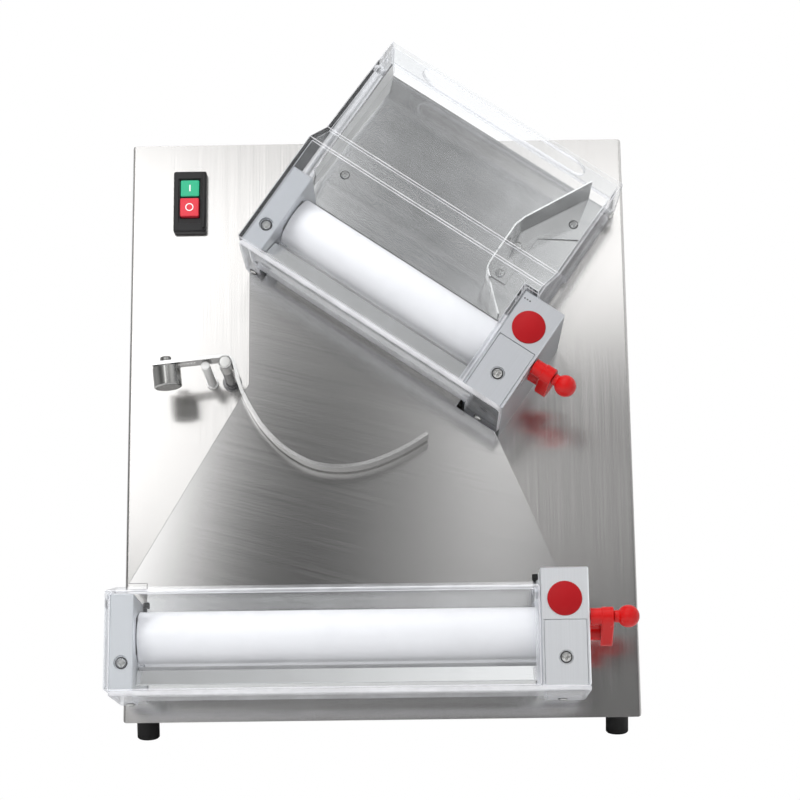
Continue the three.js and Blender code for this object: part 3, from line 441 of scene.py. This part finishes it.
def markEdges(piece):
    # Faces in one plane count as an edge of the sheet where area / longest reach is under narrow
    mesh = piece.data
    normals = readMesh(mesh.polygons, "normal", 3)
    distances = (normals * readMesh(mesh.polygons, "center", 3)).sum(1, keepdims=True)
    areas = readMesh(mesh.polygons, "area")
    corners = readMesh(mesh.vertices, "co", 3)[readMesh(mesh.loops, "vertex_index", 1, int)]
    starts = readMesh(mesh.polygons, "loop_start", 1, int)
    plane = np.concatenate([normals * sorting["normalSteps"], distances * sorting["distanceSteps"]], axis=1)
    group = np.unique(np.round(plane), axis=0, return_inverse=True)[1].reshape(-1)
    index = np.zeros(len(areas), int)
    for number in range(group.max() + 1):
        chosen = np.nonzero(group == number)[0]
        outline = corners[starts[chosen][:, None] + np.arange(3)].reshape(-1, 3)
        reach = np.linalg.norm(outline.max(0) - outline.min(0))
        if areas[chosen].sum() / reach < sorting["narrow"]:
            index[chosen] = 1
    mesh.polygons.foreach_set("material_index", index)


def standingFaces(piece, normal, material):
    # Faces that stand on the sheet, with |n . normal| under standing, take their own grain and the lighter
    # flange tone, which is painted light
    piece.data.materials.append(material)
    flatness = np.abs(readMesh(piece.data.polygons, "normal", 3) @ (normal / np.linalg.norm(normal)))
    piece.data.polygons.foreach_set("material_index", (flatness < sorting["standing"]).astype(int))


for nodeName, piece in nodes.items():
    piece.data.materials.clear()
    piece.data.materials.append(finish[nodeFinish[nodeName]])
    if nodeName == "hopper_plate":
        # The hopper's flanges get a lighter copy of its steel: painted light
        standingFaces(piece, upperOut, finish["flangePaintedLightSteel"])
    if nodeFinish[nodeName] == "clearSheet":
        piece.data.materials.append(finish["clearEdgePaintedHighlight"])
        markEdges(piece)
        # Cut edges and fold bevels take the milky edge finish, a painted highlight
        softenEdges(piece, softened["clearWidth"], True, 1)
    else:
        softenEdges(piece, softened["width"])
print("CAD nodes finished")


# Turned pieces in finer facets than the CAD solids, in their place
def turnedInstead(node, centre, axis, profile, body, material, segments):
    piece = revolved(node + "Fine", centre, axis, profile, body, material, segments)
    softenEdges(piece, softened["turnedWidth"], False)
    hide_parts(node)


# Rollers, index pins and caps: lengths along the axis from the blocks' faces, and radii
rolling = {"radius": 0.0234, "edge": 0.001, "gap": 0.0006, "journal": 0.008, "shaft": 0.006,
           "leftEnd": 0.015, "journalEnd": 0.0126, "shaftEnd": 0.0253, "segments": 96}
pinning = {"lift": 0.028, "foot": 0.0026, "tip": 0.0022, "chamfer": 0.0008, "radius": 0.003,
           "neck": 0.0224, "neckRadius": 0.0054, "ball": 0.010, "ballMiddle": 0.035,
           "neckAngle": 147.5, "endAngle": 2.0, "steps": 22, "segments": 64}
capping = {"rise": 0.0258, "foot": 0.0037, "stem": 0.0129, "under": 0.0003, "radius": 0.0154,
           "side": 0.0009, "top": 0.0014, "chamfer": 0.0008, "segments": 72}


def rollerProfile(left, right):
    # (h, r): journal, body with its ends bevelled, journal, and the shaft that carries the gear
    radius, edge, journal, shaft = (rolling[key] for key in ("radius", "edge", "journal", "shaft"))
    start, end = left + rolling["gap"], right - rolling["gap"]
    return [(left - rolling["leftEnd"], journal), (start, journal), (start, radius - edge),
            (start + edge, radius), (end - edge, radius), (end, radius - edge), (end, journal),
            (right + rolling["journalEnd"], journal), (right + rolling["journalEnd"], shaft),
            (right + rolling["shaftEnd"], shaft)]


def pinProfile(rightEnd):
    # (h, r): pin, neck, then the ball's arch (middle + R cos q, R sin q) from the neck to the end
    foot, neck = rightEnd - pinning["foot"], rightEnd + pinning["neck"]
    q = np.radians(np.linspace(pinning["neckAngle"], pinning["endAngle"], pinning["steps"]))
    arch = zip(rightEnd + pinning["ballMiddle"] + pinning["ball"] * np.cos(q), pinning["ball"] * np.sin(q))
    return [(foot, pinning["tip"]), (foot + pinning["chamfer"], pinning["radius"]),
            (neck, pinning["radius"]), (neck, pinning["neckRadius"]), *arch]


def capProfile(front):
    # (h, r): stem in the block, then the flat head with its edge bevelled
    return [(front - capping["foot"], capping["stem"]), (front + capping["under"], capping["stem"]),
            (front + capping["under"], capping["radius"]), (front + capping["side"], capping["radius"]),
            (front + capping["top"], capping["radius"] - capping["chamfer"])]


for unitName, unit in (("lower", lowerUnit), ("upper", upperUnit)):
    along, rise, out = unitAxes(unit)
    for side in ("rear", "front"):
        turnedInstead(f"{unitName}_roller_{side}", onUnit(unit, 0.0, 0.0, placing[side + "Axis"]), along,
                      rollerProfile(unit["left"], unit["right"]), f"{unitName}_{side}", "rollerWhite",
                      rolling["segments"])
    leverTurn = math.radians(unit["leverTurn"])
    pinRise = pinning["lift"] * math.sin(leverTurn)
    pinOut = placing["frontAxis"] + pinning["lift"] * math.cos(leverTurn)
    turnedInstead(f"{unitName}_index_pin", onUnit(unit, 0.0, pinRise, pinOut), along,
                  pinProfile(unit["right"] + placing["wideBlock"]), f"{unitName}_pin", "leverRed",
                  pinning["segments"])
    capSpot = onUnit(unit, unit["right"] + placing["wideBlock"] / 2, capping["rise"], 0.0)
    turnedInstead(f"{unitName}_cap", capSpot, out, capProfile(placing["blockFront"]), "housing", "capRed",
                  capping["segments"])
print("turned pieces placed")

# Screws: domed heads, each on a dark ring that is painted shadow round the head, with a cross recess in
# shares of the head's radius and height
screwing = {"rings": 18, "segments": 56, "height": 0.0022, "skirt": 0.0006, "turn": 0.4, "armWidth": 0.19,
            "armSoft": 0.07, "armLength": 0.66, "endSoft": 0.1, "depth": 0.75, "seat": 1.17,
            "seatFoot": -0.0003, "seatTop": 0.0002, "seatSegments": 40}


def screwHead(name, centre, normal, radius, turn=screwing["turn"]):
    # Height over (r, t): dome h*(1-(r/R)^2)^0.5, less a cross of arms w wide with soft sides
    rings, segments = screwing["rings"], screwing["segments"]
    r = np.linspace(0.0, 1.0, rings)[:, None]
    t = np.arange(segments)[None, :] * 2 * math.pi / segments + turn
    x, y = r * np.cos(t), r * np.sin(t)
    arm, reach = np.minimum(np.abs(x), np.abs(y)), np.maximum(np.abs(x), np.abs(y))
    cut = np.clip((screwing["armWidth"] - arm) / screwing["armSoft"], 0.0, 1.0)
    cut = cut * np.clip((screwing["armLength"] - reach) / screwing["endSoft"], 0.0, 1.0)
    dome = screwing["height"] * np.sqrt(np.clip(1.0 - r ** 2, 0.0, 1.0))
    height = dome - cut * screwing["height"] * screwing["depth"]
    u, v, w = basisFor(normal)
    points = np.asarray(centre) + radius * (x[..., None] * u + y[..., None] * v) + height[..., None] * w
    skirt = points[-1] - w * screwing["skirt"]
    # Dark ring under the head: painted shadow
    seatRadius = radius * screwing["seat"]
    seat = [(screwing["seatFoot"], seatRadius), (screwing["seatTop"], seatRadius)]
    revolved(name + "ShadowRing", centre, normal, seat, "housing", "seatDark",
             screwing["seatSegments"])
    last = rings * segments
    faces = gridFaces(rings + 1, segments) + [list(range(last + segments - 1, last - 1, -1))]
    everything = np.concatenate([points.reshape(-1, 3), skirt])
    meshPiece(name, everything, faces, "housing", "screwSteel")


# Screws in the fronts of the blocks (how far out, and turn) and, from below, in the finger plates
blockScrews = {"Left": (0.1164, 0.7), "Right": (0.1187, 0.3), "rise": -0.0258, "radius": 0.0046}
plateScrews = {"rise": -0.0555, "out": 0.050, "radius": 0.0038}
for unitName, unit in (("lower", lowerUnit), ("upper", upperUnit)):
    along, rise, out = unitAxes(unit)
    middles = (("Left", unit["left"] - placing["narrowBlock"] / 2),
               ("Right", unit["right"] + placing["wideBlock"] / 2))
    for side, middle in middles:
        front, turn = blockScrews[side]
        screwHead(f"{unitName}Screw{side}", onUnit(unit, middle, blockScrews["rise"], front), out,
                  blockScrews["radius"], turn)
    for side, middle in middles:
        spot = onUnit(unit, middle, plateScrews["rise"], plateScrews["out"])
        screwHead(f"{unitName}PlateScrew{side}", spot, -rise, plateScrews["radius"])

# The hopper plate slopes: it stands foot + (top - b) * slope from the face, and fixings lie on it
hopper = {"slope": 0.135, "foot": 0.016, "top": 0.199, "plate": 0.0008, "guide": 0.0028,
          "screwLeft": (-0.113, 0.077), "screwRight": (0.0966, 0.160), "rightTurn": 1.1,
          "screwRadius": 0.0040}


def onHopper(a, b, lift):
    return onUnit(upperUnit, a, b, hopper["foot"] + (hopper["top"] - b) * hopper["slope"] + lift)


hopperNormal = upperOut + upperRise * hopper["slope"]
screwHead("hopperScrewLeft", onHopper(*hopper["screwLeft"], hopper["plate"]), hopperNormal,
          hopper["screwRadius"])
screwHead("hopperScrewRight", onHopper(*hopper["screwRight"], hopper["guide"]), hopperNormal,
          hopper["screwRadius"], hopper["rightTurn"])

# Rivets of the guide wall and pins of the hood, as plain domes
doming = {"foot": -0.0004, "startAngle": 4.0, "endAngle": 86.0, "steps": 9, "segments": 40}
riveting = {"places": ((0.066, 0.077), (0.0645, 0.110)), "radius": 0.0046, "height": 0.0026}
hoodPins = {"Left": -0.142, "Right": 0.121, "rise": 0.188, "out": 0.024, "radius": 0.0048, "height": 0.0024}


def domeHead(name, centre, normal, radius, height):
    # Quarter arch: (H sin q, R cos q)
    q = np.radians(np.linspace(doming["startAngle"], doming["endAngle"], doming["steps"]))
    profile = [(doming["foot"], radius), *zip(height * np.sin(q), radius * np.cos(q))]
    revolved(name, centre, normal, profile, "housing", "screwSteel", doming["segments"])


for number, (a, b) in enumerate(riveting["places"]):
    domeHead(f"guideRivet{number + 1}", onHopper(a, b, hopper["guide"]), hopperNormal, riveting["radius"],
             riveting["height"])
for side, sense in (("Left", -1.0), ("Right", 1.0)):
    domeHead(f"hoodPin{side}", onUnit(upperUnit, hoodPins[side], hoodPins["rise"], hoodPins["out"]),
             upperAlong * sense, hoodPins["radius"], hoodPins["height"])

# Rear cover screws, in two upright rows
rearScrews = {"x": 0.228, "y": 0.19272, "heights": (0.036, 0.170, 0.300, 0.430, 0.532), "radius": 0.0038,
              "turn": 0.3}
rearPlaces = [(sense * rearScrews["x"], height) for sense in (-1, 1) for height in rearScrews["heights"]]
for number, (x, z) in enumerate(rearPlaces):
    screwHead(f"rearScrew{number + 1}", (x + placing["shift"][0], rearScrews["y"], z), depthWay,
              rearScrews["radius"], rearScrews["turn"] * number)
print("screws placed")

# Flat shapes of even thickness, with softened edges
flatShapes = {"cornerSteps": 7, "bevel": 0.0003, "bevelShare": 0.35}


def outlineRect(width, height, radius):
    # Corner k: (+-(w/2 - r) + r cos q, +-(h/2 - r) + r sin q), q from k to k + 1 right angles
    k = np.arange(4)[:, None]
    q = np.linspace(0.0, math.pi / 2, flatShapes["cornerSteps"]) + k * math.pi / 2
    sideX, sideY = np.array([[1, -1, -1, 1], [1, 1, -1, -1]])[:, :, None]
    x = sideX * (width / 2 - radius) + radius * np.cos(q)
    y = sideY * (height / 2 - radius) + radius * np.sin(q)
    return np.stack([x, y], axis=-1).reshape(-1, 2)


def platePiece(name, centre, axes, rings, faces, thick, body, material):
    # Point = centre + x u + y v + h w for each (x, y) of the ring that lies h above the plane
    u, v, w = axes
    points = np.concatenate([np.asarray(centre) + ring[:, :1] * u + ring[:, 1:] * v + w * h
                             for ring, h in rings])
    piece = meshPiece(name, points, faces, body, material, False)
    edge = piece.modifiers.new("edges", "BEVEL")
    edge.width = min(flatShapes["bevel"], thick * flatShapes["bevelShare"])
    edge.segments = 2
    edge.limit_method = "ANGLE"


def ringPlate(name, centre, axes, outer, inner, thick, body, material):
    # Four rings: outer low, outer high, inner high, inner low, and the last joined to the first
    count = len(outer)
    rings = [(outer, 0.0), (outer, thick), (inner, thick), (inner, 0.0)]
    near = np.arange(count)
    far = (near + 1) % count
    under = np.stack([3 * count + near, 3 * count + far, far, near], axis=1).tolist()
    platePiece(name, centre, axes, rings, gridFaces(4, count) + under, thick, body, material)


def flatPlate(name, centre, axes, outline, thick, body, material):
    # Two rings, low and high, each closed by one face
    count = len(outline)
    ends = [list(range(count, 2 * count)), list(range(count - 1, -1, -1))]
    platePiece(name, centre, axes, [(outline, 0.0), (outline, thick)], gridFaces(2, count) + ends, thick,
               body, material)


# Switch: raised frame, rail beside it, and the marks on the two buttons; sizes are width, height, corner
switching = {
    "x": -0.1825, "s": 0.5045,
    "frame": (0.0300, 0.0600, 0.0020), "opening": (0.0222, 0.0460, 0.0012), "frameFoot": 0.0079,
    "frameThick": 0.0016,
    "rail": (0.0022, 0.0560, 0.0009), "railX": -0.1690, "railFoot": 0.008, "railThick": 0.0046,
    "onMark": (0.0013, 0.0068, 0.0005), "onS": 0.5178, "onFace": 0.0094,
    "offOuter": 0.0040, "offInner": 0.0030, "offS": 0.4972, "offFace": 0.0126, "ringSteps": 40,
    "markThick": 0.0002,
}
ringPlate("switchFrame", onFace(switching["x"], switching["s"], switching["frameFoot"]), faceAxes(),
          outlineRect(*switching["frame"]), outlineRect(*switching["opening"]), switching["frameThick"],
          "housing", "switchBlack")
flatPlate("switchRail", onFace(switching["railX"], switching["s"], switching["railFoot"]), faceAxes(),
          outlineRect(*switching["rail"]), switching["railThick"], "housing", "switchBlack")
flatPlate("onMark", onFace(switching["x"], switching["onS"], switching["onFace"]), faceAxes(),
          outlineRect(*switching["onMark"]), switching["markThick"], "on_button", "markWhite")
circle = np.linspace(0.0, 2 * math.pi, switching["ringSteps"], endpoint=False)
ringShape = np.stack([np.cos(circle), np.sin(circle)], axis=1)
ringPlate("offMark", onFace(switching["x"], switching["offS"], switching["offFace"]), faceAxes(),
          ringShape * switching["offOuter"], ringShape * switching["offInner"], switching["markThick"],
          "off_button", "markWhite")

# Short fold that closes the chute's foot beside its lip
folding = {"place": (-0.2215, 0.1207, 0.0482), "size": (0.0168, 0.0038, 0.0002), "thick": 0.0018}
flatPlate("chuteFold", onFace(*folding["place"]), faceAxes(), outlineRect(*folding["size"]),
          folding["thick"], "housing", "chuteSteel")

# Rubber stops at the guard
stopping = {"Left": (-0.2056, 0.0934, 0.106), "Right": (0.1393, 0.1143, 0.106),
            "size": (0.0052, 0.0052, 0.0008), "thick": 0.005}
for side in ("Left", "Right"):
    flatPlate(f"guardStop{side}", onFace(*stopping[side]), faceAxes(), outlineRect(*stopping["size"]),
              stopping["thick"], "housing", "rubberBlack")

# Scale of the levers: short lines on the side of each wide block, round the lever's axis, up to its front
scaling = {"reach": 0.0385, "size": (0.0007, 0.0045, 0.0002), "thick": 0.00012, "steps": 8, "swing": 42.0,
           "front": 0.1175}
for unitName, unit in (("lower", lowerUnit), ("upper", upperUnit)):
    along, rise, out = unitAxes(unit)
    leverAxis = onUnit(unit, unit["right"] + placing["wideBlock"], 0.0, placing["frontAxis"])
    for step in range(scaling["steps"]):
        angle = math.radians(unit["leverTurn"] - scaling["swing"] * step / (scaling["steps"] - 1))
        if placing["frontAxis"] + scaling["reach"] * math.cos(angle) > scaling["front"]:
            continue
        towards = rise * math.sin(angle) + out * math.cos(angle)
        beside = rise * math.cos(angle) - out * math.sin(angle)
        flatPlate(f"{unitName}Scale{step}", leverAxis + towards * scaling["reach"], (beside, towards, along),
                  outlineRect(*scaling["size"]), scaling["thick"], "housing", "switchBlack")

# Three black dots beside the upper cap: painted shade standing in for drilled holes
dotting = {"first": 0.0035, "pitch": 0.0028, "rise": 0.0470, "radius": 0.0007, "foot": -0.0002,
           "top": 0.00012, "segments": 12}
for number in range(3):
    spot = onUnit(upperUnit, upperUnit["right"] + dotting["first"] + dotting["pitch"] * number,
                  dotting["rise"], placing["blockFront"])
    revolved(f"blockHoleShadeDot{number + 1}", spot, outFace,
             [(dotting["foot"], dotting["radius"]), (dotting["top"], dotting["radius"])], "housing",
             "switchBlack", dotting["segments"])
print("details placed")

# Camera at the photograph's place
viewing = {"place": (0.0425, -2.0727, 0.5406), "turn": (83.555, 0.875, 0.5025), "lens": 98.36,
           "sensor": 36.0, "far": 20.0}
cameraData = bpy.data.cameras.new("photoCamera")
cameraData.lens = viewing["lens"]
cameraData.sensor_width = viewing["sensor"]
cameraData.clip_end = viewing["far"]
camera = bpy.data.objects.new("photoCamera", cameraData)
camera.location = viewing["place"]
camera.rotation_euler = [math.radians(v) for v in viewing["turn"]]
bpy.context.scene.collection.objects.link(camera)
bpy.context.scene.camera = camera

# Two soft lights, and the studio round the machine as its metal mirrors it
lighting = {
    "key": {"place": (-1.15, -1.55, 1.75), "aim": (0.0, 0.0, 0.35), "size": (1.1, 1.3), "power": 22.0},
    "top": {"place": (0.05, -0.55, 2.3), "aim": (0.0, 0.0, 0.3), "size": (1.5, 1.0), "power": 24.0},
    # Stops of (direction, light): over the height z, then over x at five heights from the floor up
    "rise": ((-1.0, 0.80), (0.25, 0.55), (0.40, 0.15), (0.452, 0.17), (0.48, 0.36), (0.50, 0.52),
             (0.56, 0.60), (0.6206, 0.90), (0.627, 0.72), (0.634, 0.55), (0.643, 0.46), (0.655, 0.46),
             (0.68, 0.85), (0.86, 0.60), (1.0, 0.60)),
    "base": ((-1.0, 1.2), (-0.75, 0.6), (-0.4, 2.6), (-0.1, 1.4), (0.1, 1.1), (0.35, 1.3), (0.6, 2.4),
             (1.0, 2.6)),
    "low": ((-1.0, 1.2), (-0.75, 0.6), (-0.45, 1.4), (-0.30, 2.2), (-0.22, 7.6), (-0.14, 8.0),
            (-0.115, 6.0), (-0.098, 1.8), (-0.080, 0.25), (-0.049, 0.10), (-0.031, 0.30), (-0.014, 0.90),
            (0.007, 1.2), (0.025, 2.2), (0.042, 2.6), (0.060, 1.0), (0.084, 0.7), (0.30, 0.7), (0.6, 2.4),
            (1.0, 2.6)),
    "under": ((-1.0, 1.2), (-0.75, 0.6), (-0.45, 1.4), (-0.30, 2.2), (-0.22, 7.6), (-0.14, 8.0),
              (-0.115, 6.0), (-0.098, 1.8), (-0.080, 0.25), (-0.049, 0.10), (-0.031, 0.30),
              (-0.014, 0.70), (0.007, 0.55), (0.025, 0.40), (0.042, 0.40), (0.060, 0.30), (0.084, 0.30),
              (0.110, 0.55), (0.30, 0.7), (0.6, 2.4), (1.0, 2.6)),
    "middle": ((-1.0, 1.2), (-0.75, 0.6), (-0.45, 1.2), (-0.30, 1.8), (-0.22, 6.0), (-0.154, 6.5),
               (-0.119, 4.4), (-0.105, 1.7), (-0.087, 1.1), (-0.070, 0.8), (-0.042, 0.8), (-0.014, 0.6),
               (0.021, 1.0), (0.042, 5.0), (0.090, 5.0), (0.16, 2.0), (0.35, 1.2), (0.6, 2.4), (1.0, 2.6)),
    "high": ((-1.0, 1.0), (-0.2, 0.9), (-0.12, 1.2), (-0.06, 1.6), (0.0, 2.4), (0.05, 3.0), (0.080, 2.2),
             (0.094, 0.5), (0.110, 0.12), (0.140, 0.12), (0.160, 0.40), (0.182, 1.1), (0.21, 2.2),
             (0.27, 1.4), (0.6, 0.6), (1.0, 1.2)),
    # Heights z between which one level fades into the next, upwards from base
    "fades": {"low": (0.36, 0.42), "under": (0.522, 0.535), "middle": (0.556, 0.592), "high": (0.635, 0.70)},
    "peak": 8.0,
    # Softer light for matt surfaces, from below to above
    "mattSpan": (-0.2, 1.0),
    "matt": (0.18, 0.95),
    "floor": 0.85,
    "floorReach": 6.0,
}


def softLight(name, values):
    data = bpy.data.lights.new(name, "AREA")
    data.shape = "RECTANGLE"
    data.size, data.size_y = values["size"]
    data.energy = values["power"]
    light = bpy.data.objects.new(name, data)
    away = Vector(values["place"]) - Vector(values["aim"])
    light.rotation_euler = away.to_track_quat("Z", "Y").to_euler()
    light.location = values["place"]
    light.visible_glossy = False
    bpy.context.scene.collection.objects.link(light)


for lightName in ("key", "top"):
    softLight(lightName, lighting[lightName])

world = bpy.data.worlds.new("studio")
bpy.context.scene.world = world
world.use_nodes = True
studio = world.node_tree
studio.nodes.clear()
direction = place(studio, "ShaderNodeTexCoord")
parts = place(studio, "ShaderNodeSeparateXYZ")
studio.links.new(direction.outputs["Generated"], parts.inputs[0])


def levels(name, driver):
    # Ramp through the stops, each at (direction + 1) / 2 with light / peak, as a colour ends at 1
    ramp = place(studio, "ShaderNodeValToRGB")
    first, *between, last = lighting[name]
    for number, (spot, value) in enumerate((first, last, *between)):
        elements = ramp.color_ramp.elements
        stop = elements[number] if number < 2 else elements.new((spot + 1.0) / 2.0)
        stop.color = (value / lighting["peak"],) * 3 + (1.0,)
    studio.links.new(spread(studio, driver, (-1.0, 1.0)).outputs[0], ramp.inputs["Fac"])
    return ramp.outputs["Color"]


def fading(span, low, high):
    weight = spread(studio, parts.outputs["Z"], span, interpolation_type="SMOOTHSTEP")
    blend = place(studio, "ShaderNodeMix", data_type="RGBA")
    studio.links.new(weight.outputs[0], blend.inputs["Factor"])
    studio.links.new(low, blend.inputs[6])
    studio.links.new(high, blend.inputs[7])
    return blend.outputs[2]


# Strength = rise(z) * side(x) * peak^2, where side fades from level to level with z
side = levels("base", parts.outputs["X"])
for level, span in lighting["fades"].items():
    side = fading(span, side, levels(level, parts.outputs["X"]))
strength = place(studio, "ShaderNodeMath", operation="MULTIPLY")
studio.links.new(levels("rise", parts.outputs["Z"]), strength.inputs[0])
studio.links.new(side, strength.inputs[1])
raised = place(studio, "ShaderNodeMath", {1: lighting["peak"] ** 2}, operation="MULTIPLY")
studio.links.new(strength.outputs[0], raised.inputs[0])
mattRise = spread(studio, parts.outputs["Z"], lighting["mattSpan"], lighting["matt"])

# The camera sees white, matt surfaces get the softer light, and metal and clear sheets the levels
seen = place(studio, "ShaderNodeBackground", {"Color": white, "Strength": 1.0})
lit = place(studio, "ShaderNodeBackground")
matt = place(studio, "ShaderNodeBackground")
studio.links.new(raised.outputs[0], lit.inputs["Strength"])
studio.links.new(mattRise.outputs[0], matt.inputs["Strength"])
rays = place(studio, "ShaderNodeLightPath")
divide = mixShaders(studio, rays.outputs["Is Diffuse Ray"], lit, matt)
choose = mixShaders(studio, rays.outputs["Is Camera Ray"], divide, seen)
worldOut = place(studio, "ShaderNodeOutputWorld")
studio.links.new(choose.outputs[0], worldOut.inputs["Surface"])

# Pale floor: pure white to the camera, pale to everything else
far = lighting["floorReach"]
floorMesh = bpy.data.meshes.new("floor")
floorMesh.from_pydata([(-far, -far, 0.0), (far, -far, 0.0), (far, far, 0.0), (-far, far, 0.0)], [],
                      [(0, 1, 2, 3)])
floorMaterial, floorTree = freshMaterial("floorPale")
floorSeen = place(floorTree, "ShaderNodeEmission", {"Color": white, "Strength": 1.0})
floorLit = place(floorTree, "ShaderNodeBsdfDiffuse", {"Color": (lighting["floor"],) * 3 + (1.0,)})
floorRays = place(floorTree, "ShaderNodeLightPath")
endWith(floorTree, mixShaders(floorTree, floorRays.outputs["Is Camera Ray"], floorLit, floorSeen))
floorMesh.materials.append(floorMaterial)
floor = bpy.data.objects.new("floor", floorMesh)
bpy.context.scene.collection.objects.link(floor)
bpy.context.scene.view_settings.view_transform = "Standard"
print("camera, light and floor set")
